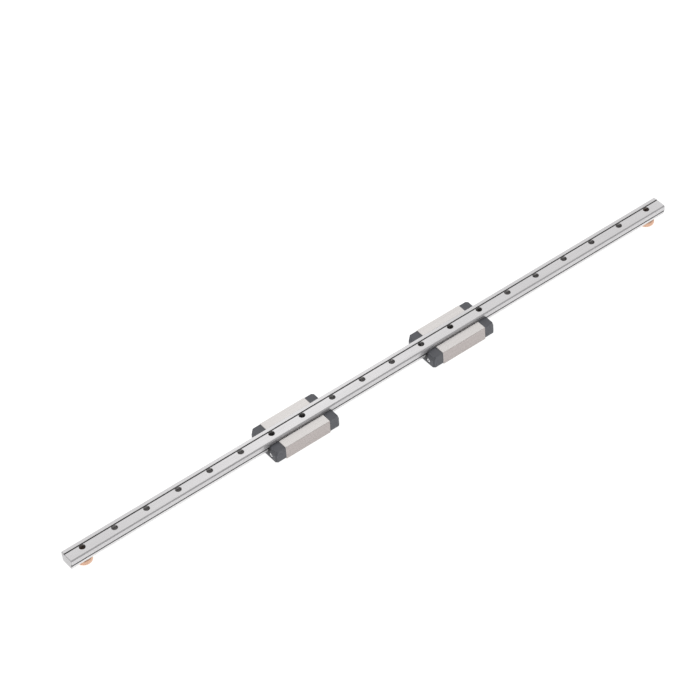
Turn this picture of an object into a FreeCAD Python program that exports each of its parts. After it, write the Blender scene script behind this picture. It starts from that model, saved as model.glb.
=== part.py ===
# Miniature linear guide: a ground rail, two long ball carriages and two stop plugs in the rail's end holes.
# It lies upside down on the carriages' mounting faces, with the rail's base face up.
# Millimetres. +X runs along the rail and +Z is up. The origin is under the middle of the rail, on the plane
# that the carriages rest on. Left and right are -X and +X, front and back are -Y and +Y.
import FreeCAD, Part
import math
import os

Vector = FreeCAD.Vector

ALONG = Vector(1, 0, 0)
UP = Vector(0, 0, 1)
ENDS = {"left": -1, "right": 1}
SIDES = {"front": -1, "back": 1}

# Rail
RAIL_LENGTH = 300.0
RAIL_WIDTH = 7.0
RAIL_HEIGHT = 5.0
RAIL_HEAD_INSET = 0.3  # how far the sides below the ball grooves stand back
RAIL_BASE_CHAMFER = 0.45
RAIL_HEAD_CHAMFER = 0.6
RAIL_END_CHAMFER = 0.25
HOLE_PITCH = 15.0
HOLE_DIAMETER = 2.6
HOLE_EDGE_CHAMFER = 0.1
COUNTERBORE_DIAMETER = 4.2
COUNTERBORE_DEPTH = 2.3
DATUM_LINE_OFFSET = 1.33
DATUM_LINE_WIDTH = 0.6
DATUM_LINE_DEPTH = 0.3

# Carriages
CARRIAGE_CENTRES = {"a": -41.15, "b": 37.85}
CARRIAGE_HEIGHT = 8.0  # from the carriage's mounting face to the rail's base face
CARRIAGE_WIDTH = 17.0
BLOCK_LENGTH = 21.8
LEG_CLEARANCE = 1.5  # from the rail's base face to the ends of the block's legs
BLOCK_CHAMFER = 0.15
CHANNEL_CLEARANCE = 0.6
MOUNT_PITCH_ALONG = 13.0
MOUNT_PITCH_ACROSS = 12.0
MOUNT_HOLE_DIAMETER = 1.6  # the tapping size of the fastening thread
MOUNT_HOLE_DEPTH = 2.5
MOUNT_HOLE_CHAMFER = 0.2

# Ball circuits
BALL_DIAMETER = 1.2
BALL_CLEARANCE = 0.06
BALL_SPACING = 0.02  # least gap from one ball to the next
BALL_ROW_DEPTH = 3.0  # from the rail's base face to the ball centres
BALL_ROW_STANDOFF = 0.3  # from the rail's side to the ball centres
RETURN_CLEARANCE = 0.08
RETURN_WALL = 0.6  # between a loaded track and its return hole

# End caps and end seals
CAP_LENGTH = 4.9
CAP_SIDE_INSET = 0.05
CAP_LEG_INSET = 0.35
CAP_FLOOR_INSET = 0.7
CAP_CHAMFER = 0.1
CAP_CORNER_CHAMFER = 0.8
CAP_SLOPE_HEIGHT = 2.05  # of the part of the outer end, next to the legs, that leans back
CAP_SLOPE_DEPTH = 0.55  # how far it leans back
CAP_CLEARANCE = 0.2
SEAL_THICKNESS = 1.0
SEAL_BAND = 0.8  # from the rail's surface to the seal's outer edge
SEAL_LEG_INSET = 0.1
SEAL_CLEARANCE = 0.1
SEAL_POCKET_CLEARANCE = 0.04

# End cap screws
SCREW_DIAMETER = 1.0
SCREW_HEAD_DIAMETER = 1.9
SCREW_HEAD_HEIGHT = 0.8
SCREW_HEAD_CHAMFER = 0.15
SCREW_HEAD_SINK = 0.9  # depth of the head's seat in the cap
SCREW_GRIP = 3.0  # length of thread in the block
SCREW_CLEARANCE = 0.06
SCREW_HEAD_CLEARANCE = 0.12
SCREW_STANDOFF = 0.75  # from the block's channel wall to the screw's axis
SCREW_RISE = 2.5  # from the carriage's mounting face
RECESS_LENGTH = 1.1
RECESS_WIDTH = 0.28
RECESS_DEPTH = 0.45

# Stop plugs
PLUG_HEAD_DIAMETER = 6.9
PLUG_HEAD_THICKNESS = 2.1
PLUG_HEAD_ROUND = 0.35
PLUG_STEM_GAP = 0.4  # from the stem's end to the counterbore's floor
PLUG_STEM_CHAMFER = 0.4
PLUG_CLEARANCE = 0.05

# Places that follow from the sizes above
RAIL_BASE_Z = CARRIAGE_HEIGHT
RAIL_HEAD_Z = RAIL_BASE_Z - RAIL_HEIGHT
BALL_Z = RAIL_BASE_Z - BALL_ROW_DEPTH
BALL_RADIUS = BALL_DIAMETER / 2
ROW_Y = RAIL_WIDTH / 2 + BALL_ROW_STANDOFF
TRACK_RADIUS = BALL_RADIUS + BALL_CLEARANCE
RETURN_RADIUS = BALL_RADIUS + RETURN_CLEARANCE
RETURN_Y = ROW_Y + TRACK_RADIUS + RETURN_WALL + RETURN_RADIUS
TURN_RADIUS = (RETURN_Y - ROW_Y) / 2
BLOCK_END = BLOCK_LENGTH / 2
LEG_END_Z = RAIL_BASE_Z - LEG_CLEARANCE
CAP_TOP_Z = LEG_END_Z - CAP_LEG_INSET
CHANNEL_WIDTH = RAIL_WIDTH + 2 * CHANNEL_CLEARANCE
SCREW_ACROSS = CHANNEL_WIDTH / 2 + SCREW_STANDOFF
SCREW_SEAT = CAP_LENGTH - SCREW_HEAD_SINK
OVERSHOOT = 1.0  # how far a cutting shape runs past what it cuts


def edges_where(shape, test):
    """The shape's edges whose middle point and direction pass the test."""
    found = []
    for edge in shape.Edges:
        start, end = edge.Vertexes[0].Point, edge.Vertexes[-1].Point
        if test((start + end) / 2, (end - start).normalize()):
            found.append(edge)
    return found


def centred_box(x_start, length, width, z_low, z_high):
    """A box from x_start along +X, centred across the guide."""
    return Part.makeBox(length, width, z_high - z_low, Vector(x_start, -width / 2, z_low))


def turned(points, place, axis):
    """A solid of revolution from (radius, height) corners, standing at place with its height along axis."""
    corners = [Vector(radius, 0, height) for radius, height in points]
    face = Part.Face(Part.makePolygon(corners + corners[:1]))
    solid = face.revolve(Vector(0, 0, 0), UP, 360)
    solid.Placement = FreeCAD.Placement(place, FreeCAD.Rotation(UP, axis))
    return solid


def rod(radius, x_start, length, y, z):
    """A round bar along +X."""
    return Part.makeCylinder(radius, length, Vector(x_start, y, z), ALONG)


def rail_bar(x_start, length, gap=0.0):
    """A length of the rail's section with its two ball grooves, grown by a gap on every side."""
    base, head = RAIL_BASE_Z + gap, RAIL_HEAD_Z - gap
    wide = RAIL_WIDTH / 2 + gap
    narrow = wide - RAIL_HEAD_INSET
    half = [
        (wide - RAIL_BASE_CHAMFER, base),
        (wide, base - RAIL_BASE_CHAMFER),
        (wide, BALL_Z),
        (narrow, BALL_Z),
        (narrow, head + RAIL_HEAD_CHAMFER),
        (narrow - RAIL_HEAD_CHAMFER, head),
    ]
    outline = half + [(-y, z) for y, z in reversed(half)]
    corners = [Vector(x_start, y, z) for y, z in outline]
    bar = Part.Face(Part.makePolygon(corners + corners[:1])).extrude(ALONG * length)
    grooves = [
        rod(TRACK_RADIUS - gap, x_start - OVERSHOOT, length + 2 * OVERSHOOT, side * ROW_Y, BALL_Z)
        for side in SIDES.values()
    ]
    return bar.cut(grooves)


def hole_places():
    """The x of every rail hole, spread evenly about the rail's middle."""
    count = int(RAIL_LENGTH // HOLE_PITCH)
    return [(index - (count - 1) / 2) * HOLE_PITCH for index in range(count)]


def hole_cutter(x):
    """One counterbored screw hole, with broken edges, upside down as the rail lies."""
    narrow, wide = HOLE_DIAMETER / 2, COUNTERBORE_DIAMETER / 2
    edge = HOLE_EDGE_CHAMFER
    outline = [
        (0, -OVERSHOOT),
        (wide + edge, -OVERSHOOT),
        (wide + edge, 0),
        (wide, edge),
        (wide, COUNTERBORE_DEPTH),
        (narrow, COUNTERBORE_DEPTH),
        (narrow, RAIL_HEIGHT - edge),
        (narrow + edge, RAIL_HEIGHT),
        (narrow + edge, RAIL_HEIGHT + OVERSHOOT),
        (0, RAIL_HEIGHT + OVERSHOOT),
    ]
    return turned(outline, Vector(x, 0, RAIL_HEAD_Z), UP)


def rail():
    """The ground rail, with its row of counterbored holes and the datum line in its base face."""
    blank = centred_box(-RAIL_LENGTH / 2, RAIL_LENGTH, RAIL_WIDTH, RAIL_HEAD_Z, RAIL_BASE_Z)
    blank = blank.makeChamfer(RAIL_END_CHAMFER, edges_where(blank, lambda p, d: abs(d.x) < 0.1))
    bar = rail_bar(-RAIL_LENGTH / 2, RAIL_LENGTH).common(blank)
    line = Part.makeBox(
        RAIL_LENGTH + 2 * OVERSHOOT,
        DATUM_LINE_WIDTH,
        DATUM_LINE_DEPTH + OVERSHOOT,
        Vector(
            -RAIL_LENGTH / 2 - OVERSHOOT,
            DATUM_LINE_OFFSET - DATUM_LINE_WIDTH / 2,
            RAIL_BASE_Z - DATUM_LINE_DEPTH,
        ),
    )
    return bar.cut([line] + [hole_cutter(x) for x in hole_places()])


def stop_plug(x):
    """A push-in stop: a round head under the rail and a stem that fills the hole's counterbore."""
    radius, round_off = PLUG_HEAD_DIAMETER / 2, PLUG_HEAD_ROUND
    stem = COUNTERBORE_DIAMETER / 2 - PLUG_CLEARANCE
    floor, top = -PLUG_HEAD_THICKNESS, COUNTERBORE_DEPTH - PLUG_STEM_GAP
    slant = round_off * (1 - math.sqrt(0.5))
    corners = [
        Vector(0, 0, floor),
        Vector(radius - round_off, 0, floor),
        Vector(radius, 0, floor + round_off),
        Vector(radius, 0, -round_off),
        Vector(radius - round_off, 0, 0),
        Vector(stem, 0, 0),
        Vector(stem, 0, top - PLUG_STEM_CHAMFER),
        Vector(stem - PLUG_STEM_CHAMFER, 0, top),
        Vector(0, 0, top),
    ]
    lower_middle = Vector(radius - slant, 0, floor + slant)
    upper_middle = Vector(radius - slant, 0, -slant)
    edges = []
    for start, end in zip(corners, corners[1:] + corners[:1]):
        edges.append(Part.LineSegment(start, end).toShape())
    edges[1] = Part.Arc(corners[1], lower_middle, corners[2]).toShape()
    edges[3] = Part.Arc(corners[3], upper_middle, corners[4]).toShape()
    solid = Part.Face(Part.Wire(edges)).revolve(Vector(0, 0, 0), UP, 360)
    solid.translate(Vector(x, 0, RAIL_HEAD_Z))
    return solid


def block():
    """A carriage's steel block, about its own middle: two legs astride the rail, tracks and holes."""
    body = centred_box(-BLOCK_END, BLOCK_LENGTH, CARRIAGE_WIDTH, 0, LEG_END_Z)
    body = body.makeChamfer(BLOCK_CHAMFER, body.Edges)
    run_start, run = -BLOCK_END - OVERSHOOT, BLOCK_LENGTH + 2 * OVERSHOOT
    channel_floor = RAIL_HEAD_Z - CHANNEL_CLEARANCE
    cuts = [centred_box(run_start, run, CHANNEL_WIDTH, channel_floor, LEG_END_Z + OVERSHOOT)]
    for side in SIDES.values():
        cuts.append(rod(TRACK_RADIUS, run_start, run, side * ROW_Y, BALL_Z))
        cuts.append(rod(RETURN_RADIUS, run_start, run, side * RETURN_Y, BALL_Z))
        for end in ENDS.values():
            cuts.append(mount_hole(end * MOUNT_PITCH_ALONG / 2, side * MOUNT_PITCH_ACROSS / 2))
            thread = SCREW_DIAMETER / 2 + SCREW_CLEARANCE
            outline = [(0, 0), (thread, 0), (thread, SCREW_GRIP + SCREW_CLEARANCE), (0, SCREW_GRIP + thread)]
            mouth = Vector(end * BLOCK_END, side * SCREW_ACROSS, SCREW_RISE)
            cuts.append(turned(outline, mouth, ALONG * -end))
    return body.cut(cuts)


def mount_hole(x, y):
    """A blind fastening hole in the mounting face, with a countersunk mouth and a drilled point."""
    radius, edge = MOUNT_HOLE_DIAMETER / 2, MOUNT_HOLE_CHAMFER
    outline = [
        (0, -OVERSHOOT),
        (radius + edge, -OVERSHOOT),
        (radius + edge, 0),
        (radius, edge),
        (radius, MOUNT_HOLE_DEPTH),
        (0, MOUNT_HOLE_DEPTH + radius / math.sqrt(3)),
    ]
    return turned(outline, Vector(x, y, 0), UP)


def cap_blank():
    """A cap without its cuts, from x = 0 along +X: broken edges, and an end that leans back at the legs."""
    width, crease = CARRIAGE_WIDTH - 2 * CAP_SIDE_INSET, CAP_TOP_Z - CAP_SLOPE_HEIGHT
    outline = [
        (0, CAP_FLOOR_INSET),
        (CAP_LENGTH, CAP_FLOOR_INSET),
        (CAP_LENGTH, crease),
        (CAP_LENGTH - CAP_SLOPE_DEPTH, CAP_TOP_Z),
        (0, CAP_TOP_Z),
    ]
    corners = [Vector(x, -width / 2, z) for x, z in outline]
    blank = Part.Face(Part.makePolygon(corners + corners[:1])).extrude(Vector(0, width, 0))
    standing = edges_where(blank, lambda p, d: abs(d.y) < 0.1 and abs(d.z) > 0.1 and p.x > CAP_LENGTH / 2)
    blank = blank.makeChamfer(CAP_CORNER_CHAMFER, standing)
    levels = (CAP_FLOOR_INSET, CAP_TOP_Z)
    rims = edges_where(blank, lambda p, d: p.x > CAP_LENGTH / 4 and min(abs(p.z - z) for z in levels) < 0.001)
    return blank.makeChamfer(CAP_CHAMFER, rims)


def seal_band(gap, top):
    """The seal's outline round the rail, at the cap's outer end, grown by a gap and up to a height."""
    width = RAIL_WIDTH + 2 * (SEAL_BAND + gap)
    start = CAP_LENGTH - SEAL_THICKNESS - gap
    return centred_box(start, SEAL_THICKNESS + gap, width, RAIL_HEAD_Z - SEAL_BAND - gap, top)


def ball_turn(side):
    """The curved passage in an end cap that leads the balls from the loaded track to the return hole."""
    centre = Vector(0, side * (ROW_Y + RETURN_Y) / 2, BALL_Z)
    ring = Part.makeTorus(TURN_RADIUS, RETURN_RADIUS, centre, UP)
    reach = TURN_RADIUS + RETURN_RADIUS + OVERSHOOT
    half_space = Part.makeBox(reach, 2 * reach, 2 * reach, centre - Vector(0, reach, reach))
    return ring.common(half_space)


def screw_passage(x_start, length, radius, side):
    """A round passage along a cap screw's axis."""
    return rod(radius, x_start, length, side * SCREW_ACROSS, SCREW_RISE)


def end_cap():
    """The plastic cap on a block's right end, from x = 0 along +X, with ball turns and screw seats."""
    cuts = [
        rail_bar(-OVERSHOOT, CAP_LENGTH + 2 * OVERSHOOT, CAP_CLEARANCE),
        seal_band(SEAL_POCKET_CLEARANCE, CAP_TOP_Z + OVERSHOOT),
    ]
    hole = SCREW_DIAMETER / 2 + SCREW_CLEARANCE
    seat = SCREW_HEAD_DIAMETER / 2 + SCREW_HEAD_CLEARANCE
    for side in SIDES.values():
        cuts.append(ball_turn(side))
        cuts.append(screw_passage(-OVERSHOOT, CAP_LENGTH + 2 * OVERSHOOT, hole, side))
        cuts.append(screw_passage(SCREW_SEAT, CAP_LENGTH, seat, side))
    return cap_blank().cut(cuts)


def end_seal():
    """The rubber wiper sunk flush in a cap's outer end, placed as the cap is, its lip round the rail."""
    cuts = [rail_bar(-OVERSHOOT, CAP_LENGTH + 2 * OVERSHOOT, SEAL_CLEARANCE)]
    seat = SCREW_HEAD_DIAMETER / 2 + SCREW_HEAD_CLEARANCE
    for side in SIDES.values():
        cuts.append(screw_passage(-OVERSHOOT, CAP_LENGTH + 2 * OVERSHOOT, seat, side))
    return seal_band(0, CAP_TOP_Z - SEAL_LEG_INSET).common(cap_blank()).cut(cuts)


def cap_screw(side):
    """A cross-recess screw that holds a right end cap, placed as the cap is, with its tip towards -X."""
    head, shank = SCREW_HEAD_DIAMETER / 2, SCREW_DIAMETER / 2
    edge = SCREW_HEAD_CHAMFER
    outline = [
        (0, -SCREW_SEAT - SCREW_GRIP),
        (shank - edge, -SCREW_SEAT - SCREW_GRIP),
        (shank, edge - SCREW_SEAT - SCREW_GRIP),
        (shank, 0),
        (head, 0),
        (head, SCREW_HEAD_HEIGHT - edge),
        (head - edge, SCREW_HEAD_HEIGHT),
        (0, SCREW_HEAD_HEIGHT),
    ]
    place = Vector(SCREW_SEAT, side * SCREW_ACROSS, SCREW_RISE)
    screw = turned(outline, place, ALONG)
    face = place + ALONG * (SCREW_HEAD_HEIGHT - RECESS_DEPTH)
    depth = RECESS_DEPTH + OVERSHOOT
    bars = []
    for wide, tall in ((RECESS_LENGTH, RECESS_WIDTH), (RECESS_WIDTH, RECESS_LENGTH)):
        bars.append(Part.makeBox(depth, wide, tall, face - Vector(0, wide / 2, tall / 2)))
    return screw.cut(bars)


def ball_places(side):
    """Ball centres of one closed circuit: the loaded row, the return row and the two turns."""
    pitch = BALL_DIAMETER + BALL_SPACING
    half_turn = math.asin(pitch / 2 / TURN_RADIUS)
    reach = TURN_RADIUS * math.cos(half_turn)
    middle_y = (ROW_Y + RETURN_Y) / 2
    sideways = TURN_RADIUS - pitch / 2
    row_half = BLOCK_END - (math.sqrt(pitch**2 - sideways**2) - reach)
    count = int(2 * row_half / pitch) + 1
    places = []
    for y in (ROW_Y, RETURN_Y):
        for index in range(count):
            places.append(Vector(row_half * (2 * index / (count - 1) - 1), side * y, BALL_Z))
    for end in ENDS.values():
        for shift in (-pitch / 2, pitch / 2):
            places.append(Vector(end * (BLOCK_END + reach), side * (middle_y + shift), BALL_Z))
    return places


def ball_circuit(side):
    """All the balls of one circuit, as separate solids."""
    return Part.makeCompound([Part.makeSphere(BALL_RADIUS, place) for place in ball_places(side)])


def at_end(shape, end, start):
    """A piece made for the right end, moved out to start, and turned half round for the left end."""
    placed = shape.copy()
    placed.translate(ALONG * start)
    if end < 0:
        placed.rotate(Vector(0, 0, 0), UP, 180)
    return placed


def carriage():
    """The nodes of one carriage, about its own middle."""
    nodes = {"block": block()}
    for end_name, end in ENDS.items():
        nodes["end_cap_" + end_name] = at_end(end_cap(), end, BLOCK_END)
        nodes["end_seal_" + end_name] = at_end(end_seal(), end, BLOCK_END)
        for side_name, side in SIDES.items():
            screw = at_end(cap_screw(side * end), end, BLOCK_END)
            nodes[f"screw_{end_name}_{side_name}"] = screw
    for side_name, side in SIDES.items():
        nodes["balls_" + side_name] = ball_circuit(side)
    return nodes


def guide():
    """Every node of the guide, by name."""
    nodes = {"rail": rail()}
    ends = hole_places()
    nodes["stop_plug_left"] = stop_plug(ends[0])
    nodes["stop_plug_right"] = stop_plug(ends[-1])
    for name, centre in CARRIAGE_CENTRES.items():
        for piece, shape in carriage().items():
            placed = shape.copy()
            placed.translate(ALONG * centre)
            nodes[f"carriage_{name}_{piece}"] = placed
    return nodes


def main():
    """Write every node to its own file."""
    os.makedirs("parts", exist_ok=True)
    for name, shape in guide().items():
        if not shape.isValid():
            raise ValueError(name + " is not a valid solid")
        shape.exportStep("parts/" + name + ".step")
        print(name, len(shape.Solids), round(shape.Volume, 3))


main()
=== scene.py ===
import logging
import math
from dataclasses import dataclass, field
from enum import Enum
from typing import Iterable, Optional, Union

import bmesh
import bpy
from mathutils import Matrix, Vector


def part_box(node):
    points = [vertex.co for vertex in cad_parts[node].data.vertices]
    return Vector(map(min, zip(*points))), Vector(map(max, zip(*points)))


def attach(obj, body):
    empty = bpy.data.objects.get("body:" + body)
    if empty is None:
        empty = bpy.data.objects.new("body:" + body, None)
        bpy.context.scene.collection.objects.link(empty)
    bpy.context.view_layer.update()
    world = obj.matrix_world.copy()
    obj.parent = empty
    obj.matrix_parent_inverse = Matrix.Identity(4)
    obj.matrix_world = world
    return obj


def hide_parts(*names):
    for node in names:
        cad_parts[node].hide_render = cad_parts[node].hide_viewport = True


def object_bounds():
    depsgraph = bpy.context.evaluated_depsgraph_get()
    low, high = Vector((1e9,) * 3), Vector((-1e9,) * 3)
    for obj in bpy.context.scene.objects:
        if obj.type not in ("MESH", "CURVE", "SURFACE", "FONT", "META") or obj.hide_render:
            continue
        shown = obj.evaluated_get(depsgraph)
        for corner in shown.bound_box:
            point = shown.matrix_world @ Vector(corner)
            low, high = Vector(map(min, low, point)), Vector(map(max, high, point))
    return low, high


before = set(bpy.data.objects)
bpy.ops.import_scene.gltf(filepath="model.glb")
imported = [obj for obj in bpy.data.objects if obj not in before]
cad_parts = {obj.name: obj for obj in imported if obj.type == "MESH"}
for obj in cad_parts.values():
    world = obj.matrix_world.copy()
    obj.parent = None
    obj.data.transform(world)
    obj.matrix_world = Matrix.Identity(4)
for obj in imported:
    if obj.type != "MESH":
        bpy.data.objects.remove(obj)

LOG = logging.getLogger("linear_guide")
CAD_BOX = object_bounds()

MM = 0.001
SMOOTH_ANGLE = math.radians(28)
WHITE = (1.0, 1.0, 1.0, 1.0)

Colour = tuple[float, float, float]
Place = tuple[float, float, float]
Point = tuple[float, float]
Relief = tuple[float, float]
Material = bpy.types.Material
Socket = bpy.types.NodeSocket
Paint = Union[Colour, Socket]
Value = Union[float, Place, Vector, Socket]


class Slot(Enum):
    """Material slot names for new pieces, which this script does not use."""

    RAIL = "rail_steel"
    SCREW = "screw_steel"
    BALL = "ball_steel"


class Body(Enum):
    """The bodies that pieces ride on."""

    RAIL = "guide_rail"
    CARRIAGE_A = "carriage_a"
    CARRIAGE_B = "carriage_b"


class End(Enum):
    """The two ends of a carriage."""

    LEFT = "left"
    RIGHT = "right"


class Side(Enum):
    """The two sides of a carriage."""

    FRONT = "front"
    BACK = "back"


@dataclass(frozen=True)
class Grain:
    """A noise: a speck's size along X, Y and Z, its finer layers and an offset of its own."""

    speck: Place
    detail: float = 3.0
    shift: float = 0.0


# Painted highlight along edges: its unevenness, its weakest share, its fade and its start.
EDGE_HIGHLIGHT_GRAIN = Grain((1.5 * MM,) * 3, 3.0, 9.1)
EDGE_HIGHLIGHT_LEAST = 0.45  # what is left of the painted edge highlight where it is weakest
EDGE_HIGHLIGHT_FADE = 1.5  # where a highlighted strip has faded out, in strip widths from its edge
EDGE_START, EDGE_FULL = 1.2, 1.9  # the nearness to all faces at which the painted highlight starts and is full
MIX_COLOURS, MIX_RESULT = (6, 7), 2  # a Mix node's colour inputs and colour output


# Node benches


class NodeBench:
    """A node tree that grows by short calls."""

    def __init__(self, tree: bpy.types.NodeTree) -> None:
        """Works on the given tree."""
        self.tree = tree

    def feed(self, socket: Socket, value: Value) -> None:
        """Links a socket to another one, or sets its number.

        Args:
            socket: the input to fill.
            value: an output to link it to, or its value.
        """
        if isinstance(value, Socket):
            self.tree.links.new(value, socket)
        else:
            socket.default_value = value

    def node(self, kind: str, inputs: Optional[dict] = None, **settings: object) -> bpy.types.Node:
        """Adds a node.

        Args:
            kind: the node's type name.
            inputs: values or outputs for its inputs, by name or number.
            settings: the node's own properties.

        Returns:
            The new node.
        """
        made = self.tree.nodes.new(kind)
        for name, setting in settings.items():
            setattr(made, name, setting)
        for key, value in (inputs or {}).items():
            self.feed(made.inputs[key], value)
        return made

    def math(self, operation: str, *values: Value) -> Socket:
        """The result of a Math node."""
        return self.node("ShaderNodeMath", dict(enumerate(values)), operation=operation).outputs[0]

    def plus(self, first: Value, second: Value) -> Socket:
        """The sum of two values."""
        return self.math("ADD", first, second)

    def minus(self, first: Value, second: Value) -> Socket:
        """One value less another."""
        return self.math("SUBTRACT", first, second)

    def times(self, first: Value, second: Value) -> Socket:
        """One value times another."""
        return self.math("MULTIPLY", first, second)

    def vector(self, x: Value = 0.0, y: Value = 0.0, z: Value = 0.0) -> Socket:
        """Three numbers joined to a vector."""
        return self.node("ShaderNodeCombineXYZ", {0: x, 1: y, 2: z}).outputs[0]


class GeometryBench(NodeBench):
    """A Geometry Nodes tree with named inputs for its sizes."""

    def __init__(self, name: str) -> None:
        """Starts an empty tree with a geometry input and output.

        Args:
            name: the tree's name.
        """
        super().__init__(bpy.data.node_groups.new(name, "GeometryNodeTree"))
        for way in ("INPUT", "OUTPUT"):
            self.tree.interface.new_socket("Geometry", in_out=way, socket_type="NodeSocketGeometry")
        self.entry = self.tree.nodes.new("NodeGroupInput")
        self.exit = self.tree.nodes.new("NodeGroupOutput")
        self.values: dict[str, float] = {}

    @property
    def host(self) -> Socket:
        """The host object's own mesh."""
        return self.entry.outputs["Geometry"]

    def size(self, name: str, value: float) -> Socket:
        """Adds a named input.

        Args:
            name: the input's name.
            value: its size or count, which the modifier is set to.

        Returns:
            The input inside the tree.
        """
        kind = "NodeSocketInt" if isinstance(value, int) else "NodeSocketFloat"
        item = self.tree.interface.new_socket(name, in_out="INPUT", socket_type=kind)
        self.values[item.identifier] = value
        return self.entry.outputs[name]

    def moved(self, geometry: Socket, place: Value, turn: Value = (0.0, 0.0, 0.0)) -> Socket:
        """Geometry turned about X, Y and Z, then moved."""
        inputs = {"Geometry": geometry, "Translation": place, "Rotation": turn}
        return self.node("GeometryNodeTransform", inputs).outputs[0]

    def joined(self, *parts: Socket) -> Socket:
        """Joins several geometries to one.

        Args:
            parts: the geometries.

        Returns:
            All of them together.
        """
        made = self.node("GeometryNodeJoinGeometry")
        for part in parts:
            self.tree.links.new(part, made.inputs[0])
        return made.outputs[0]

    def frustum(self, low: Value, high: Value, bottom: Value, top: Value, sides: int) -> Socket:
        """A round cutter that stands on the Z axis.

        Args:
            low: the radius at its bottom.
            high: the radius at its top.
            bottom: the height of its bottom.
            top: the height of its top.
            sides: how many flats go round it.

        Returns:
            The closed mesh.
        """
        inputs = {"Vertices": sides, "Radius Top": high, "Radius Bottom": low}
        inputs["Depth"] = self.minus(top, bottom)
        cone = self.node("GeometryNodeMeshCone", inputs, fill_type="NGON").outputs["Mesh"]
        return self.moved(cone, self.vector(z=bottom))

    def row(self, count: Value, start: Value, step: Value) -> Socket:
        """A row of points from a start, a step apart."""
        inputs = {"Count": count, "Start Location": start, "Offset": step}
        return self.node("GeometryNodeMeshLine", inputs).outputs[0]

    def copies(self, points: Socket, shape: Socket) -> Socket:
        """A copy of a shape on every point, as real geometry."""
        placed = self.node("GeometryNodeInstanceOnPoints", {"Points": points, "Instance": shape})
        return self.node("GeometryNodeRealizeInstances", {0: placed.outputs[0]}).outputs[0]

    def cut(self, solid: Socket, cutters: Iterable[Socket]) -> Socket:
        """Takes cutters away from a solid.

        Args:
            solid: what is cut.
            cutters: closed meshes.

        Returns:
            What is left.
        """
        made = self.node("GeometryNodeMeshBoolean", {"Mesh 1": solid}, solver="EXACT")
        for cutter in cutters:
            self.tree.links.new(cutter, made.inputs["Mesh 2"])
        return made.outputs["Mesh"]

    def finish(self, geometry: Socket, material: Material) -> None:
        """Ends the tree with real geometry in one material.

        Args:
            geometry: the finished shape.
            material: its finish.
        """
        real = self.node("GeometryNodeRealizeInstances", {0: geometry}).outputs[0]
        inputs = {"Geometry": real, "Material": material}
        dressed = self.node("GeometryNodeSetMaterial", inputs).outputs[0]
        self.tree.links.new(dressed, self.exit.inputs[0])

    def run(self, host: bpy.types.Object) -> None:
        """Turns the host into the plain mesh that the tree makes.

        Args:
            host: the object whose own mesh goes in; it keeps the result.
        """
        modifier = host.modifiers.new("build", "NODES")
        modifier.node_group = self.tree
        for identifier, value in self.values.items():
            modifier[identifier] = value
        graph = bpy.context.evaluated_depsgraph_get()
        result = bpy.data.meshes.new_from_object(host.evaluated_get(graph), depsgraph=graph)
        host.modifiers.remove(modifier)
        host.data = result
        result.name = host.name
        result.shade_smooth()
        result.set_sharp_from_angle(angle=SMOOTH_ANGLE)


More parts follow.
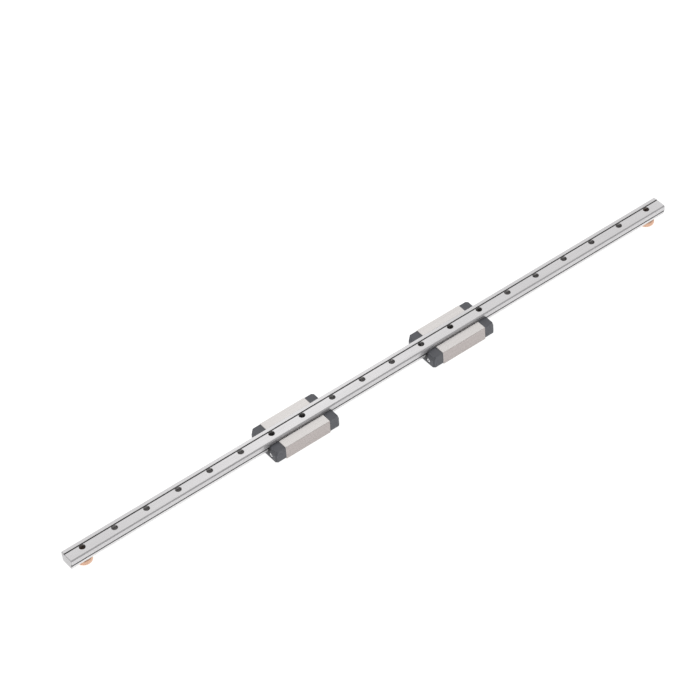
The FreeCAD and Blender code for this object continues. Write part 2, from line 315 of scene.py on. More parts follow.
class Surface(NodeBench):
    """A procedural material on Object coordinates."""

    paint: Socket
    sheen: Socket

    def __init__(self, name: str, sockets: dict[str, Value]) -> None:
        """Starts a material.

        Args:
            name: its name.
            sockets: the plain values of its shader.
        """
        self.material = bpy.data.materials.new(name)
        self.material.use_nodes = True
        super().__init__(self.material.node_tree)
        self.tree.nodes.clear()
        self.shader = self.node("ShaderNodeBsdfPrincipled", sockets)
        self.node("ShaderNodeOutputMaterial", {"Surface": self.shader.outputs[0]})
        self.place = self.node("ShaderNodeTexCoord").outputs["Object"]
        self.x, self.y, self.z = self.node("ShaderNodeSeparateXYZ", {0: self.place}).outputs

    def noise(self, grain: Grain) -> Socket:
        """Noise stretched to a grain.

        Args:
            grain: the size of its specks, its detail and its offset.

        Returns:
            The noise, about 0.5.
        """
        scale = Vector([1 / length for length in grain.speck])
        inputs = {"Vector": self.place, "Location": (grain.shift,) * 3, "Scale": scale}
        mapped = self.node("ShaderNodeMapping", inputs).outputs[0]
        inputs = {"Vector": mapped, "Scale": 1.0, "Detail": grain.detail}
        return self.node("ShaderNodeTexNoise", inputs).outputs[0]

    def spread(
        self, value: Value, low: float, high: float, start: float = 0.3, end: float = 0.7
    ) -> Socket:
        """A value stretched so that its start gives the low result and its end the high one."""
        inputs = {"Value": value, "From Min": start, "From Max": end, "To Min": low, "To Max": high}
        return self.node("ShaderNodeMapRange", inputs).outputs[0]

    def shared(self, first: Socket, second: Socket, share: float) -> Socket:
        """Two values added, the first by its share and the second by the rest."""
        return self.plus(self.times(first, share), self.times(second, 1 - share))

    def within(self, value: Value, low: float, high: float, soft: float) -> Socket:
        """A soft band.

        Args:
            value: what is tested.
            low: where the band starts.
            high: where it ends.
            soft: how wide its edges are.

        Returns:
            1 inside the band and 0 outside.
        """
        rise = self.spread(value, 0.0, 1.0, low - soft, low)
        fall = self.spread(value, 1.0, 0.0, high, high + soft)
        return self.math("MINIMUM", rise, fall)

    def edges(self, faces: Iterable[tuple[Value, float]], width: float) -> Socket:
        """Finds edges, where two outer faces meet, for a painted highlight that is uneven along
        them.

        Args:
            faces: for each outer face, a coordinate and where the face lies along it.
            width: how wide the highlighted strip is on each face.

        Returns:
            1 where an edge gets its painted highlight and 0 elsewhere.
        """
        fade = EDGE_HIGHLIGHT_FADE * width
        near = [self.spread(value, 0.0, 1.0, face - fade, face - width) for value, face in faces]
        total = near[0]
        for one in near[1:]:
            total = self.plus(total, one)
        uneven = self.spread(self.noise(EDGE_HIGHLIGHT_GRAIN), EDGE_HIGHLIGHT_LEAST, 1.0)
        return self.times(self.spread(total, 0.0, 1.0, EDGE_START, EDGE_FULL), uneven)

    def blend(self, factor: Value, first: Paint, second: Paint, kind: str = "MIX") -> Socket:
        """Blends two colours.

        Args:
            factor: 0 for the first, 1 for the second.
            first: a colour.
            second: another colour.
            kind: how the second acts on the first.

        Returns:
            The blended colour.
        """
        inputs: dict[int, Value] = {0: factor}
        for number, paint in zip(MIX_COLOURS, (first, second)):
            inputs[number] = paint if isinstance(paint, Socket) else (*paint, 1.0)
        made = self.node("ShaderNodeMix", inputs, data_type="RGBA", blend_type=kind)
        return made.outputs[MIX_RESULT]

    def skin(self, colour: Socket, rough: Socket) -> None:
        """Links the shader's colour and roughness.

        Args:
            colour: the colour all over.
            rough: the roughness all over.
        """
        self.paint, self.sheen = colour, rough
        self.feed(self.shader.inputs["Base Color"], colour)
        self.feed(self.shader.inputs["Roughness"], rough)

    def tint(self, *places: tuple[Socket, Colour]) -> None:
        """Multiplies the colour in some places, which keeps its grain there."""
        for factor, tint in places:
            self.skin(self.blend(factor, self.paint, tint, "MULTIPLY"), self.sheen)

    def cover(self, factor: Socket, colour: Socket, rough: float) -> None:
        """Lays another colour and roughness over some places."""
        sheen = self.node("ShaderNodeMix", {0: factor, 2: self.sheen, 3: rough}).outputs[0]
        self.skin(self.blend(factor, self.paint, colour), sheen)

    def bumps(self, *layers: tuple[Socket, float, float]) -> None:
        """Links the shader's normal to layers of relief.

        Args:
            layers: for each layer its height, strength and depth.
        """
        normal: Optional[Socket] = None
        for height, strength, depth in layers:
            inputs: dict[str, Value] = {"Height": height, "Strength": strength, "Distance": depth}
            if normal is not None:
                inputs["Normal"] = normal
            normal = self.node("ShaderNodeBump", inputs).outputs[0]
        self.feed(self.shader.inputs["Normal"], normal)


# Finishes


@dataclass(frozen=True)
class Finish:
    """A material whose colour and roughness each vary between two values."""

    name: str
    dark: Colour
    light: Colour
    rough_low: float
    rough_high: float

    def lay(self, made: Surface, tone: Socket, sheen: Socket) -> None:
        """Spreads the colour by one noise and the roughness by another."""
        colour = made.blend(made.spread(tone, 0.0, 1.0), self.dark, self.light)
        made.skin(colour, made.spread(sheen, self.rough_low, self.rough_high))


@dataclass(frozen=True)
class GroundSteel(Finish):
    """Hardened steel, ground along the rail to a satin face."""

    metallic: float = 0.6
    streak: Grain = Grain((40 * MM, 0.35 * MM, 0.35 * MM), 4.0)
    scratch: Grain = Grain((9 * MM, 0.06 * MM, 0.06 * MM), 2.0, 3.1)
    cloud: Grain = Grain((30 * MM, 12 * MM, 12 * MM), 3.0, 7.7)
    streak_share: float = 0.65
    streak_relief: Relief = (0.25, 0.004 * MM)
    scratch_relief: Relief = (0.35, 0.002 * MM)

    def surface(self) -> Surface:
        """The ground face.

        Returns:
            The surface.
        """
        made = Surface(self.name, {"Metallic": self.metallic})
        streaks, scratches = made.noise(self.streak), made.noise(self.scratch)
        tone = made.shared(streaks, made.noise(self.cloud), self.streak_share)
        self.lay(made, tone, scratches)
        made.bumps((streaks, *self.streak_relief), (scratches, *self.scratch_relief))
        return made


@dataclass(frozen=True)
class RailSteel(GroundSteel):
    """The rail's steel: ground faces, painted light on walls, flanks and hole mouths, painted shade
    on bevels and ends and in grooves, holes and datum line.
    """

    # Painted light and shade by face: walls lighter, flanks lighter as a painted reflection of the
    # floor, bevels and ends darker.
    wall: Colour = (1.12, 1.12, 1.125)
    bevel: Colour = (0.92, 0.92, 0.925)
    flank: Colour = (1.4, 1.41, 1.4)
    end: Colour = (0.9, 0.9, 0.9)
    # Painted light at the hole mouths (bore), fading to painted shade deeper in the holes (scale).
    bore: Colour = (0.93, 0.915, 0.91)
    scale: Colour = (0.16, 0.152, 0.15)
    bore_shade_light: Colour = (0.25, 0.24, 0.238)
    # Painted shade in the datum line's notch.
    line: Colour = (0.07, 0.068, 0.068)
    line_light: Colour = (0.13, 0.127, 0.126)
    # Painted shade in the ball grooves, near black.
    groove: Colour = (0.02, 0.0195, 0.0195)
    groove_light: Colour = (0.05, 0.049, 0.049)
    # Mottle of the painted shade in the grooves, holes and datum line.
    shade_mottle: Grain = Grain((0.5 * MM,) * 3, 4.0, 1.3)
    groove_rough: float = 0.35
    recess_shade_rough: float = 0.55
    # How deep a hole mouth's painted light reaches, and how much higher the painted shade reaches
    # on one side of each hole.
    mouth: float = 1.3 * MM
    slant: float = 1.2
    line_start: float = 0.06 * MM
    lip: float = 0.08 * MM
    reach: float = 0.02 * MM

    def holes(self, made: Surface, rail: "Rail") -> tuple[Socket, Socket]:
        """Finds the insides of the holes, where the painted shade reaches higher on one side.

        Args:
            made: the surface.
            rail: the rail, for the places of its holes.

        Returns:
            1 inside a hole and 0 outside, and the height that the painted shade's depth is taken
            from.
        """
        half = rail.hole_pitch / 2
        beside = made.math("WRAP", made.minus(made.x, half), half, -half)
        inputs = {0: made.vector(beside, made.y)}
        radius = made.node("ShaderNodeVectorMath", inputs, operation="LENGTH").outputs["Value"]
        bore = made.math("LESS_THAN", radius, rail.hole_diameter / 2 + self.reach)
        wide = made.math("LESS_THAN", radius, rail.counterbore_diameter / 2 + self.reach)
        low = made.math("LESS_THAN", made.z, rail.head + rail.counterbore_depth + self.reach)
        slanted = made.times(made.math("MINIMUM", made.minus(made.y, beside), 0.0), self.slant)
        return made.math("MAXIMUM", bore, made.times(wide, low)), made.plus(made.z, slanted)

    def cuts(self, made: Surface, rail: "Rail") -> tuple[Socket, Socket]:
        """Finds the datum line and the ball grooves.

        Args:
            made: the surface.
            rail: the rail, for the places of its cuts.

        Returns:
            1 in the line and 0 elsewhere, and the same for the grooves.
        """
        half = rail.line_width / 2 + self.reach
        low, high = rail.base - rail.line_depth - self.reach, rail.base - self.line_start
        line = made.within(made.y, rail.line_offset - half, rail.line_offset + half, self.reach)
        line = made.times(line, made.within(made.z, low, high, self.reach))
        low = rail.groove_z - rail.lower_lip - self.reach
        high = rail.groove_z + rail.upper_lip + self.lip
        across, along = made.math("ABSOLUTE", made.y), made.math("ABSOLUTE", made.x)
        deep = made.math("GREATER_THAN", across, rail.groove_bottom - rail.end_chamfer)
        clear = made.math("LESS_THAN", along, rail.half_length - self.reach)
        level = made.within(made.z, low, high, self.reach)
        return line, made.times(made.times(level, deep), clear)

    def material(self, rail: "Rail") -> Material:
        """The finish.

        Args:
            rail: the rail, for the places of its holes, line and grooves.

        Returns:
            The material.
        """
        made = self.surface()
        across, along = made.math("ABSOLUTE", made.y), made.math("ABSOLUTE", made.x)
        # Where the painted light and shade by face go: walls, bevels, flanks and ends.
        wall = made.math("GREATER_THAN", across, rail.half_width - self.reach)
        bevel = made.math("GREATER_THAN", across, rail.half_width - rail.base_chamfer + self.reach)
        bevel = made.times(bevel, made.math("GREATER_THAN", made.z, rail.base - rail.base_chamfer))
        flank = made.math("LESS_THAN", made.z, rail.groove_z - rail.lower_lip - self.reach)
        flank = made.times(flank, made.math("GREATER_THAN", across, rail.narrow - self.reach))
        end = made.math("GREATER_THAN", along, rail.half_length - rail.end_chamfer + self.reach)
        made.tint((wall, self.wall), (bevel, self.bevel), (flank, self.flank), (end, self.end))
        shade_mottle = made.noise(self.shade_mottle)
        line, groove = self.cuts(made, rail)
        # Painted shade in the ball grooves.
        made.cover(groove, made.blend(shade_mottle, self.groove, self.groove_light), self.groove_rough)
        hole, height = self.holes(made, rail)
        # Painted light at each hole's mouth, fading to painted shade deeper down.
        deep = made.spread(height, 1.0, 0.0, rail.base - self.mouth, rail.base)
        inside = made.blend(deep, self.bore, made.blend(shade_mottle, self.scale, self.bore_shade_light))
        # Painted shade in the datum line's notch, laid over the hole colours.
        inside = made.blend(line, inside, made.blend(shade_mottle, self.line, self.line_light))
        made.cover(made.math("MAXIMUM", hole, line), inside, self.recess_shade_rough)
        return made.material


@dataclass(frozen=True)
class BlockSteel(GroundSteel):
    """A block's steel, a little warmer, with painted shade on its sides, painted light in its
    channel and a painted highlight along its edges.
    """

    # Painted highlight along the edges, painted shade on the sides, painted light in the channel.
    edge: Colour = (1.16, 1.16, 1.16)
    side: Colour = (0.81, 0.765, 0.757)
    channel: Colour = (1.35, 1.35, 1.35)
    soft: float = 0.06 * MM

    def material(self, carriage: "Carriage") -> Material:
        """The finish.

        Args:
            carriage: the carriage, for the place of its block.

        Returns:
            The material.
        """
        made = self.surface()
        out = made.math("ABSOLUTE", made.minus(made.x, carriage.centre))
        across = made.math("ABSOLUTE", made.y)
        wide, legs, soft = carriage.half_width, carriage.leg_end, self.soft
        # Where the painted shade, light and highlight go: the sides, the channel and the edges.
        side = made.within(across, wide - soft / 2, wide + MM, soft)
        channel = made.within(across, -MM, carriage.channel_half + soft / 2, soft)
        channel = made.times(channel, made.within(made.z, soft, legs - soft, soft))
        faces = [(out, carriage.half_length), (across, wide), (made.z, legs)]
        edge = made.edges(faces, carriage.block_edge)
        made.tint((side, self.side), (channel, self.channel), (edge, self.edge))
        return made.material


@dataclass(frozen=True)
class MouldedPlastic(Finish):
    """Moulded plastic or rubber with a fine eroded texture."""

    grain: float = 0.09 * MM
    relief: float = 0.012 * MM
    relief_strength: float = 0.4
    cloud: Grain = Grain((3 * MM,) * 3, 4.0, 5.3)
    grain_share: float = 0.5

    def surface(self) -> Surface:
        """The moulded skin.

        Returns:
            The surface.
        """
        made = Surface(self.name, {})
        grain = made.noise(Grain((self.grain,) * 3))
        self.lay(made, made.shared(grain, made.noise(self.cloud), self.grain_share), grain)
        made.bumps((grain, self.relief_strength, self.relief))
        return made

    def material(self) -> Material:
        """The finish without special places."""
        return self.surface().material


@dataclass(frozen=True)
class CapPlastic(MouldedPlastic):
    """The end caps' plastic, with painted light on the sides and a painted highlight along the
    edges.
    """

    # Painted light on the sides, a painted highlight along the edges, and the highlight's width.
    side: Colour = (1.3, 1.3, 1.28)
    edge: Colour = (1.5, 1.5, 1.48)
    highlight_width: float = 0.1 * MM

    def cap_material(self, carriage: "Carriage") -> Material:
        """The finish of one carriage's caps.

        Args:
            carriage: the carriage, for its caps' place and size.

        Returns:
            The material.
        """
        made = self.surface()
        out = made.math("ABSOLUTE", made.minus(made.x, carriage.centre))
        across = made.math("ABSOLUTE", made.y)
        end, wide = carriage.half_length + carriage.cap_length, carriage.cap_half_width
        corner = (made.plus(out, across), end + wide - carriage.cap_corner)
        lean = carriage.cap_slope_depth / carriage.cap_slope_height
        rise = made.times(made.minus(made.z, carriage.cap_top), lean)
        slope = (made.plus(out, rise), end - carriage.cap_slope_depth)
        low = (made.times(made.z, -1.0), -carriage.cap_floor)
        # Painted highlight along the upper and lower edges, and painted light on the sides.
        upper = made.edges([(across, wide), corner, slope, (made.z, carriage.cap_top)], self.highlight_width)
        lower = made.edges([(across, wide), corner, (out, end), low], self.highlight_width)
        side = made.within(across, wide - 2 * self.highlight_width, wide + MM, self.highlight_width)
        made.tint((side, self.side), (made.math("MAXIMUM", upper, lower), self.edge))
        return made.material


@dataclass(frozen=True)
class PlugPlastic(MouldedPlastic):
    """The stops' plastic, with a painted highlight along the rim."""

    # Painted highlight along the rim, and its width.
    rim_highlight: Colour = (1.04, 1.16, 1.24)
    highlight_width: float = 0.3 * MM

    def plug_material(self, plugs: "StopPlugs") -> Material:
        """The finish of both stops.

        Args:
            plugs: the stops, for their place and size.

        Returns:
            The material.
        """
        made = self.surface()
        out = made.minus(made.math("ABSOLUTE", made.x), plugs.centre)
        squares = [made.times(side, side) for side in (out, made.y)]
        radius = made.math("SQRT", made.plus(*squares))
        low = (made.times(made.z, -1.0), -plugs.floor)
        # Painted highlight along the rim.
        rim_highlight = made.edges([(radius, plugs.radius), low], self.highlight_width)
        made.tint((rim_highlight, self.rim_highlight))
        return made.material


@dataclass(frozen=True)
class TurnedSteel(Finish):
    """Bright steel with fine turning marks about the rail's direction."""

    mark: Grain = Grain((0.05 * MM, 0.6 * MM, 0.6 * MM), 2.0)
    mark_relief: Relief = (0.2, 0.003 * MM)
    spot: Grain = Grain((0.8 * MM,) * 3, 3.0, 2.9)

    def material(self) -> Material:
        """The finish.

        Returns:
            The material.
        """
        made = Surface(self.name, {"Metallic": 1.0})
        marks = made.noise(self.mark)
        self.lay(made, made.noise(self.spot), marks)
        made.bumps((marks, *self.mark_relief))
        return made.material


RAIL_STEEL = RailSteel("rail_ground_steel", (0.55, 0.541, 0.547), (0.62, 0.61, 0.617), 0.26, 0.4)
BLOCK_STEEL = BlockSteel(
    "block_ground_steel", (0.62, 0.595, 0.58), (0.69, 0.662, 0.648), 0.32, 0.46, 0.4
)
CAP_PLASTIC = CapPlastic(
    "cap_moulded_plastic", (0.064, 0.066, 0.077), (0.09, 0.093, 0.106), 0.42, 0.6
)
SEAL_RUBBER = MouldedPlastic(
    "seal_moulded_rubber", (0.026, 0.026, 0.029), (0.047, 0.047, 0.051), 0.55, 0.72
)
PLUG_PLASTIC = PlugPlastic(
    "plug_moulded_plastic", (0.89, 0.49, 0.32), (0.98, 0.66, 0.47), 0.36, 0.55, 0.15 * MM, 0.02 * MM
)
SCREW_STEEL = TurnedSteel("screw_bright_steel", (0.72, 0.72, 0.73), (0.82, 0.82, 0.83), 0.16, 0.3)
BALL_STEEL = TurnedSteel("ball_polished_steel", (0.6, 0.6, 0.61), (0.66, 0.66, 0.67), 0.05, 0.09)


# Pieces


def linked(name: str, data: bpy.types.ID) -> bpy.types.Object:
    """An object at the origin.

    Args:
        name: its name.
        data: its mesh, camera or light.

    Returns:
        The object, linked to the scene.
    """
    made = bpy.data.objects.new(name, data)
    bpy.context.scene.collection.objects.link(made)
    return made


def fit(piece: bpy.types.Object, body: Body, nodes: Iterable[str]) -> None:
    """Puts a finished piece in the place of CAD nodes.

    Args:
        piece: the piece, which is a plain mesh.
        body: what it rides on.
        nodes: the nodes that it stands for.
    """
    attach(piece, body.value)
    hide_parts(*nodes)
    LOG.info("%s: %d faces, rides on %s", piece.name, len(piece.data.polygons), body.value)


def dress(node: str, material: Material) -> None:
    """Gives a CAD node its finish.

    Args:
        node: the node's name.
        material: the finish.
    """
    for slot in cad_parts[node].material_slots:
        slot.material = material
    LOG.info("%s: dressed in %s", node, material.name)


def rounded(corners: list[Point], radius: float, steps: int) -> list[list[Point]]:
    """Rounds every corner of a closed outline a little.

    Args:
        corners: the outline's corners in order.
        radius: the rounding's radius.
        steps: how many flats each rounding has.

    Returns:
        For each corner, the points that take its place.
    """
    outline: list[list[Point]] = []
    for index, corner in enumerate(corners):
        here = Vector(corner)
        before = (Vector(corners[index - 1]) - here).normalized()
        after = (Vector(corners[(index + 1) % len(corners)]) - here).normalized()
        half = before.angle(after) / 2
        reach = radius / math.tan(half)
        start, end = here + before * reach, here + after * reach
        middle = here + (before + after).normalized() * (radius / math.sin(half))
        bend = []
        for step in range(steps + 1):
            arm = (start - middle).slerp(end - middle, step / steps)
            bend.append(tuple(middle + arm.normalized() * radius))
        outline.append(bend)
    return outline


def skinned(rings: list[list[Place]], name: str) -> bpy.types.Mesh:
    """A closed solid between rings of points, with its faces outwards.

    Args:
        rings: each ring's points in order; a ring of one point is a tip.
        name: the mesh's name.

    Returns:
        The mesh.
    """
    solid = bmesh.new()
    rows = [[solid.verts.new(place) for place in ring] for ring in rings]
    for row, after in zip(rows, rows[1:]):
        for index in range(max(len(row), len(after))):
            corners = [row[step % len(row)] for step in (index, index + 1)]
            corners += [after[step % len(after)] for step in (index + 1, index)]
            solid.faces.new(list(dict.fromkeys(corners)))
    for row in (rows[0], rows[-1]):
        if len(row) > 1:
            solid.faces.new(row)
    bmesh.ops.recalc_face_normals(solid, faces=solid.faces)
    mesh = bpy.data.meshes.new(name)
    solid.to_mesh(mesh)
    solid.free()
    return mesh


@dataclass
class Rail:
    """The ground rail: a bar with two ball grooves, a datum line and counterbored holes."""

    base_chamfer: float = 0.45 * MM
    head_chamfer: float = 0.6 * MM
    head_inset: float = 0.3 * MM
    end_chamfer: float = 0.25 * MM
    edge_round: float = 0.05 * MM
    edge_flats: int = 3
    groove_depth: float = 3.0 * MM
    groove_standoff: float = 0.3 * MM
    groove_radius: float = 0.66 * MM
    groove_flats: int = 16
    line_offset: float = 1.33 * MM
    line_width: float = 0.6 * MM
    line_depth: float = 0.3 * MM
    hole_pitch: float = 15 * MM
    hole_diameter: float = 2.6 * MM
    hole_edge: float = 0.1 * MM
    counterbore_diameter: float = 4.2 * MM
    counterbore_depth: float = 2.3 * MM
    hole_sides: int = 64
    overshoot: float = 1 * MM
    half_length: float = field(init=False)
    half_width: float = field(init=False)
    head: float = field(init=False)
    base: float = field(init=False)

    def __post_init__(self) -> None:
        """Takes the overall size from the frame."""
        low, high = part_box("rail")
        self.half_length, self.half_width = high.x, high.y
        self.head, self.base = low.z, high.z

    @property
    def groove_z(self) -> float:
        """The height of the ball grooves' middle."""
        return self.base - self.groove_depth

    @property
    def narrow(self) -> float:
        """Half the width below the grooves."""
        return self.half_width - self.head_inset

    @property
    def groove_bottom(self) -> float:
        """From the rail's middle to the bottom of a groove."""
        return self.half_width + self.groove_standoff - self.groove_radius

    @property
    def upper_lip(self) -> float:
        """From a groove's middle up to its upper lip."""
        return math.sqrt(self.groove_radius**2 - self.groove_standoff**2)

    @property
    def lower_lip(self) -> float:
        """From a groove's middle down to its lower lip."""
        return math.sqrt(self.groove_radius**2 - (self.groove_standoff + self.head_inset) ** 2)

    def groove(self, side: int) -> list[Point]:
        """The arc of a ball groove.

        Args:
            side: -1 for the front, 1 for the back.

        Returns:
            Its points as (y, z), from its upper lip to its lower lip.
        """
        start = math.asin(self.upper_lip / self.groove_radius)
        end = -math.asin(self.lower_lip / self.groove_radius)
        middle = self.half_width + self.groove_standoff
        points = []
        for step in range(self.groove_flats + 1):
            turn = start + (end - start) * step / self.groove_flats
            y = middle - self.groove_radius * math.cos(turn)
            points.append((side * y, self.groove_z + self.groove_radius * math.sin(turn)))
        return points

    def section(self) -> list[Point]:
        """The rail's outline.

        Returns:
            Its (y, z) points in order, edges slightly rounded.
        """
        wall, narrow, base, head = self.half_width, self.narrow, self.base, self.head
        flat, foot = wall - self.base_chamfer, narrow - self.head_chamfer
        upper, lower = base - self.base_chamfer, head + self.head_chamfer
        floor, half = base - self.line_depth, self.line_width / 2
        low, high = self.line_offset - half, self.line_offset + half
        top = [(-flat, base), (low, base), (low, floor), (high, floor), (high, base), (flat, base)]
        back = [(wall, upper), *self.groove(1), (narrow, lower)]
        bottom = [(foot, head), (-foot, head)]
        front = [(-narrow, lower), *self.groove(-1)[::-1], (-wall, upper)]
        corners = top + back + bottom + front
        arcs = {*self.groove(1), *self.groove(-1)}
        outline: list[Point] = []
        for corner, bend in zip(corners, rounded(corners, self.edge_round, self.edge_flats)):
            outline += [corner] if corner in arcs else bend
        return outline

    def bar(self) -> bpy.types.Mesh:
        """The bar before its holes are drilled.

        Returns:
            Its closed mesh.
        """
        outline = self.section()
        middle = (self.base + self.head) / 2
        inner, full = self.half_length - self.end_chamfer, (1, 1)
        tall = self.base - middle
        small = (1 - self.end_chamfer / self.half_width, 1 - self.end_chamfer / tall)
        stations = [(-self.half_length, small), (-inner, full)]
        stations += [(inner, full), (self.half_length, small)]
        rings = []
        for x, (wide, high) in stations:
            rings.append([(x, y * wide, middle + (z - middle) * high) for y, z in outline])
        return skinned(rings, "rail_bar")

    def drilling(self, material: Material) -> GeometryBench:
        """The tree that drills a bar.

        Args:
            material: the drilled bar's finish.

        Returns:
            The tree.
        """
        bench = GeometryBench("rail_holes")
        count = bench.size("Hole Count", int(2 * self.half_length // self.hole_pitch))
        pitch = bench.size("Hole Pitch", self.hole_pitch)
        bore = bench.size("Hole Radius", self.hole_diameter / 2)
        wide = bench.size("Counterbore Radius", self.counterbore_diameter / 2)
        depth = bench.size("Counterbore Depth", self.counterbore_depth)
        edge = bench.size("Broken Edge", self.hole_edge)
        base = bench.size("Base Height", self.base)
        head = bench.size("Head Height", self.head)
        over = bench.size("Overshoot", self.overshoot)
        span = bench.times(bench.minus(count, 1.0), pitch)
        points = bench.row(count, bench.vector(bench.times(span, -0.5)), bench.vector(pitch))
        above, below = bench.plus(base, over), bench.minus(head, over)
        flare = bench.plus(edge, over)
        shapes = (
            (bore, bore, below, above),
            (wide, wide, below, bench.plus(head, depth)),
            (bore, bench.plus(bore, flare), bench.minus(base, edge), above),
            (bench.plus(wide, flare), wide, below, bench.plus(head, edge)),
        )
        cutters = [bench.copies(points, bench.frustum(*shape, self.hole_sides)) for shape in shapes]
        bench.finish(bench.cut(bench.host, cutters), material)
        return bench

    def build(self) -> None:
        """Makes the rail and puts it in the place of the CAD node."""
        piece = linked("rail_ground_bar", self.bar())
        self.drilling(RAIL_STEEL.material(self)).run(piece)
        fit(piece, Body.RAIL, ["rail"])


@dataclass
class StopPlugs:
    """The two push-in stops in the rail's end holes."""

    nodes: tuple[str, str] = ("stop_plug_left", "stop_plug_right")
    centre: float = field(init=False)
    radius: float = field(init=False)
    floor: float = field(init=False)

    def __post_init__(self) -> None:
        """Takes the right stop's place and size from the frame; the left one mirrors it."""
        low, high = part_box(self.nodes[1])
        self.centre, self.radius, self.floor = (low.x + high.x) / 2, (high.x - low.x) / 2, low.z

    def dress(self) -> None:
        """Gives both stops their finish."""
        material = PLUG_PLASTIC.plug_material(self)
        for node in self.nodes:
            dress(node, material)


@dataclass(frozen=True)
class CarriageFinishes:
    """The finishes that both carriages share."""

    seal: Material
    screw: Material
    ball: Material


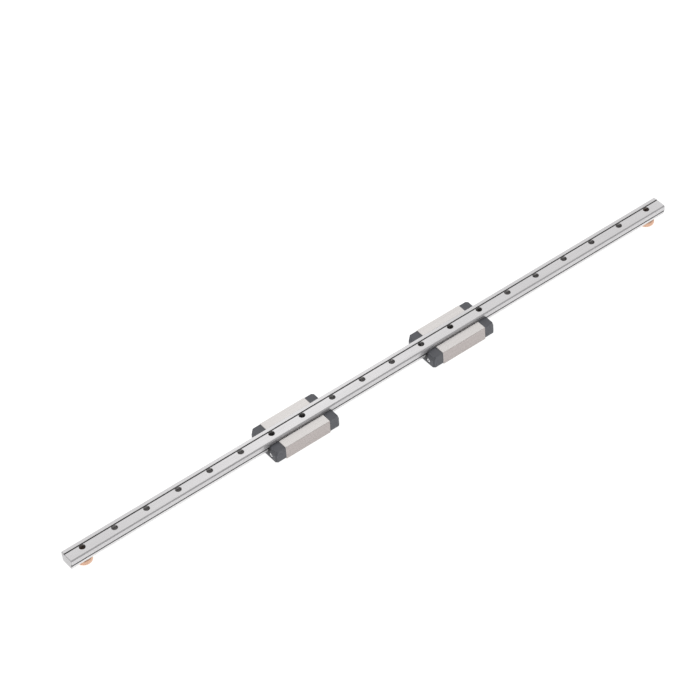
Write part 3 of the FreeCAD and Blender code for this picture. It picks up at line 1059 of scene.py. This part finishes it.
@dataclass
class Carriage:
    """A ball carriage: a block, end caps with seals, four cap screws and two ball circuits."""

    body: Body
    finishes: CarriageFinishes
    block_edge: float = 0.15 * MM
    channel_half: float = 4.1 * MM
    cap_length: float = 4.9 * MM
    cap_corner: float = 0.8 * MM
    cap_slope_height: float = 2.05 * MM
    cap_slope_depth: float = 0.55 * MM
    screw_across: float = 4.85 * MM
    screw_rise: float = 2.5 * MM
    screw_diameter: float = 1.0 * MM
    screw_head_diameter: float = 1.9 * MM
    screw_head_height: float = 0.8 * MM
    screw_head_round: float = 0.25 * MM
    screw_head_flats: int = 6
    screw_seat: float = 4.0 * MM
    screw_grip: float = 3 * MM
    screw_tip: float = 0.15 * MM
    screw_sides: int = 48
    recess_length: float = 1.1 * MM
    recess_width: float = 0.28 * MM
    recess_depth: float = 0.45 * MM
    ball_diameter: float = 1.2 * MM
    ball_spacing: float = 0.02 * MM
    ball_z: float = 5.0 * MM
    row_y: float = 3.8 * MM
    return_y: float = 5.74 * MM
    ball_segments: int = 20
    ball_rings: int = 12
    centre: float = field(init=False)
    half_length: float = field(init=False)
    half_width: float = field(init=False)
    leg_end: float = field(init=False)
    cap_half_width: float = field(init=False)
    cap_floor: float = field(init=False)
    cap_top: float = field(init=False)

    def __post_init__(self) -> None:
        """Takes the places of the block and the caps from the frame."""
        low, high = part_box(self.node("block"))
        self.centre = (low.x + high.x) / 2
        self.half_length = (high.x - low.x) / 2
        self.half_width, self.leg_end = high.y, high.z
        low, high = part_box(self.node("end_cap_right"))
        self.cap_half_width, self.cap_floor, self.cap_top = high.y, low.z, high.z

    def node(self, piece: str) -> str:
        """The name of a CAD node of this carriage."""
        return f"{self.body.value}_{piece}"

    def screw_blank(self) -> bpy.types.Mesh:
        """A cap screw for the right end, without its recess, on the X axis.

        Returns:
            Its closed mesh, measured from the carriage's middle.
        """
        seat, tip = self.half_length + self.screw_seat, self.half_length - self.screw_grip
        face, bend = seat + self.screw_head_height, self.screw_head_round
        shank, head = self.screw_diameter / 2, self.screw_head_diameter / 2
        inner, flat = face - bend, head - bend
        point = [(tip, 0.0), (tip, shank - self.screw_tip), (tip + self.screw_tip, shank)]
        outline = [*point, (seat, shank), (seat, head)]
        for step in range(self.screw_head_flats + 1):
            turn = math.pi / 2 * step / self.screw_head_flats
            outline.append((inner + bend * math.sin(turn), flat + bend * math.cos(turn)))
        outline.append((face, 0.0))
        rings = []
        for x, radius in outline:
            count = self.screw_sides if radius > 0 else 1
            turns = [2 * math.pi * index / count for index in range(count)]
            rings.append([(x, radius * math.cos(turn), radius * math.sin(turn)) for turn in turns])
        return skinned(rings, "screw_blank")

    def build_screws(self) -> None:
        """Makes the four cap screws."""
        bench = GeometryBench("cap_screws")
        across = bench.size("Screw Across", self.screw_across)
        rise = bench.size("Screw Rise", self.screw_rise)
        centre = bench.size("Carriage Centre", self.centre)
        outer = self.half_length + self.screw_seat + self.screw_head_height
        face = bench.size("Head Face", outer)
        length = bench.size("Recess Length", self.recess_length)
        width = bench.size("Recess Width", self.recess_width)
        depth = bench.size("Recess Depth", self.recess_depth)
        bars = []
        for wide, tall in ((length, width), (width, length)):
            size = bench.vector(bench.times(depth, 2.0), wide, tall)
            bar = bench.node("GeometryNodeMeshCube", {"Size": size}).outputs["Mesh"]
            bars.append(bench.moved(bar, bench.vector(face)))
        screw = bench.cut(bench.host, bars)
        start = bench.vector(y=bench.times(across, -1.0))
        step = bench.vector(y=bench.times(across, 2.0))
        pair = bench.copies(bench.row(2, start, step), screw)
        turned = bench.moved(pair, (0.0, 0.0, 0.0), (0.0, 0.0, math.pi))
        placed = bench.moved(bench.joined(pair, turned), bench.vector(centre, z=rise))
        bench.finish(placed, self.finishes.screw)
        piece = linked(self.node("cap_screws"), self.screw_blank())
        bench.run(piece)
        nodes = [self.node(f"screw_{end.value}_{side.value}") for end in End for side in Side]
        fit(piece, self.body, nodes)

    def build_balls(self) -> None:
        """Makes the balls of both circuits: two straight rows and two turns in each."""
        bench = GeometryBench("ball_circuits")
        spacing = self.ball_diameter + self.ball_spacing
        turn = (self.return_y - self.row_y) / 2
        reach = turn * math.cos(math.asin(spacing / 2 / turn))
        row_half = self.half_length - (math.sqrt(spacing**2 - (turn - spacing / 2) ** 2) - reach)
        count = bench.size("Balls In Row", int(2 * row_half / spacing) + 1)
        half = bench.size("Row Half Length", row_half)
        pitch = bench.size("Ball Pitch", spacing)
        out = bench.size("Turn Reach", self.half_length + reach)
        radius = bench.size("Ball Radius", self.ball_diameter / 2)
        centre = bench.size("Carriage Centre", self.centre)
        rise = bench.size("Ball Height", self.ball_z)
        middle = bench.size("Circuit Middle", (self.row_y + self.return_y) / 2)
        offset = bench.size("Row Offset", turn)
        step = bench.math("DIVIDE", bench.times(half, 2.0), bench.minus(count, 1.0))
        rows = []
        for side in (-1.0, 1.0):
            start = bench.vector(bench.times(half, -1.0), bench.times(offset, side))
            rows.append(bench.row(count, start, bench.vector(step)))
            start = bench.vector(bench.times(out, side), bench.times(pitch, -0.5))
            rows.append(bench.row(2, start, bench.vector(y=pitch)))
        sphere = {"Segments": self.ball_segments, "Rings": self.ball_rings, "Radius": radius}
        ball = bench.node("GeometryNodeMeshUVSphere", sphere).outputs["Mesh"]
        circuit = bench.copies(bench.joined(*rows), ball)
        front = bench.moved(circuit, bench.vector(centre, bench.times(middle, -1.0), rise))
        back = bench.moved(circuit, bench.vector(centre, middle, rise))
        bench.finish(bench.joined(front, back), self.finishes.ball)
        name = self.node("ball_circuits")
        piece = linked(name, bpy.data.meshes.new(name))
        bench.run(piece)
        fit(piece, self.body, [self.node(f"balls_{side.value}") for side in Side])

    def dress(self) -> None:
        """Gives the block, the caps and the seals their finishes."""
        dress(self.node("block"), BLOCK_STEEL.material(self))
        cap = CAP_PLASTIC.cap_material(self)
        for end in End:
            dress(self.node(f"end_cap_{end.value}"), cap)
            dress(self.node(f"end_seal_{end.value}"), self.finishes.seal)

    def build(self) -> None:
        """Makes and dresses the whole carriage."""
        self.build_screws()
        self.build_balls()
        self.dress()


# Studio


@dataclass
class Studio:
    """A pale floor, soft light from all round, one soft box and the camera."""

    floor_half: float = 12.0
    floor_tone: float = 0.22
    floor_fleck: float = 0.98
    floor_grain: Grain = Grain((0.4, 0.4, 0.4))
    floor_rough: float = 0.9
    floor_glow: float = 0.95
    key_direction: Place = (0.3, 0.55, 0.78)
    light_level: float = 0.41
    light_lean: float = 0.82
    light_least: float = 0.3
    box_power: float = 0.03
    box_size: float = 0.12
    box_distance: float = 0.3
    box_aim: Place = (-12 * MM, 0.0, 8 * MM)
    azimuth: float = math.radians(-34.74)
    elevation: float = math.radians(45.23)
    roll: float = math.radians(-4.44)
    focal_pixels: float = 3160.0
    image_pixels: float = 700.0
    sensor: float = 36.0
    distance: float = 1255.7 * MM
    shift_right: float = -10.69 * MM
    shift_up: float = 8.08 * MM
    target: Place = (0.0, 0.0, 8 * MM)
    nearest: float = 0.01
    farthest: float = 100.0

    @property
    def key(self) -> Vector:
        """Towards the brightest part of the sky."""
        return Vector(self.key_direction).normalized()

    def build_floor(self) -> None:
        """Lays the floor under the carriages."""
        mesh = bpy.data.meshes.new("studio_floor")
        reach, level = self.floor_half, CAD_BOX[0].z
        turns = ((-1, -1), (1, -1), (1, 1), (-1, 1))
        mesh.from_pydata([(reach * x, reach * y, level) for x, y in turns], [], [(0, 1, 2, 3)])
        sockets = {"Roughness": self.floor_rough, "Specular IOR Level": 0.0}
        sockets |= {"Emission Color": WHITE, "Emission Strength": self.floor_glow}
        made = Surface("studio_paper", sockets)
        speck = made.spread(made.noise(self.floor_grain), 0.0, 1.0)
        pale = self.floor_tone
        paper = made.blend(speck, (pale * self.floor_fleck,) * 3, (pale,) * 3)
        made.feed(made.shader.inputs["Base Color"], paper)
        mesh.materials.append(made.material)
        linked("studio_floor", mesh)

    def build_light(self) -> None:
        """Lights the scene from a large soft sky, brightest behind and above."""
        world = bpy.data.worlds.new("studio_light")
        bpy.context.scene.world = world
        world.use_nodes = True
        bench = NodeBench(world.node_tree)
        world.node_tree.nodes.clear()
        inputs = {0: bench.node("ShaderNodeTexCoord").outputs["Generated"], 1: self.key}
        lean = bench.node("ShaderNodeVectorMath", inputs, operation="DOT_PRODUCT").outputs["Value"]
        level = bench.plus(bench.times(lean, self.light_lean), self.light_level)
        level = bench.math("MAXIMUM", level, self.light_least)
        glow = bench.node("ShaderNodeBackground", {"Color": WHITE, "Strength": level}).outputs[0]
        bench.node("ShaderNodeOutputWorld", {"Surface": glow})

    def build_soft_box(self) -> None:
        """Hangs a weak soft box in the brightest direction, which lifts the rail's middle."""
        data = bpy.data.lights.new("studio_soft_box", "AREA")
        data.shape, data.size, data.energy = "SQUARE", self.box_size, self.box_power
        box = linked(data.name, data)
        box.location = Vector(self.box_aim) + self.box_distance * self.key
        box.rotation_euler = self.key.to_track_quat("Z", "Y").to_euler()

    def build_camera(self) -> None:
        """Stands the camera at the photograph's angle."""
        a, e = self.azimuth, self.elevation
        back = Vector((math.sin(a) * math.cos(e), -math.cos(a) * math.cos(e), math.sin(e)))
        level = Vector((math.cos(a), math.sin(a), 0.0))
        upright = back.cross(level)
        right = math.cos(self.roll) * level + math.sin(self.roll) * upright
        top = back.cross(right)
        data = bpy.data.cameras.new("studio_camera")
        data.sensor_width = self.sensor
        data.lens = self.focal_pixels / self.image_pixels * self.sensor
        data.clip_start, data.clip_end = self.nearest, self.farthest
        camera = linked(data.name, data)
        camera.matrix_world = Matrix((right, top, back)).transposed().to_4x4()
        aim = Vector(self.target) + self.shift_right * right + self.shift_up * top
        camera.location = aim + self.distance * back
        bpy.context.scene.camera = camera

    def build(self) -> None:
        """Sets the whole studio up."""
        self.build_floor()
        self.build_light()
        self.build_soft_box()
        self.build_camera()
        view = bpy.context.scene.view_settings
        view.view_transform, view.look = "Standard", "None"


def main() -> None:
    """Builds the guide and its studio."""
    logging.basicConfig(level=logging.INFO, format="%(name)s %(message)s")
    Rail().build()
    StopPlugs().dress()
    shared = [finish.material() for finish in (SEAL_RUBBER, SCREW_STEEL, BALL_STEEL)]
    for body in (Body.CARRIAGE_A, Body.CARRIAGE_B):
        Carriage(body, CarriageFinishes(*shared)).build()
    Studio().build()


if __name__ == "__main__":
    main()
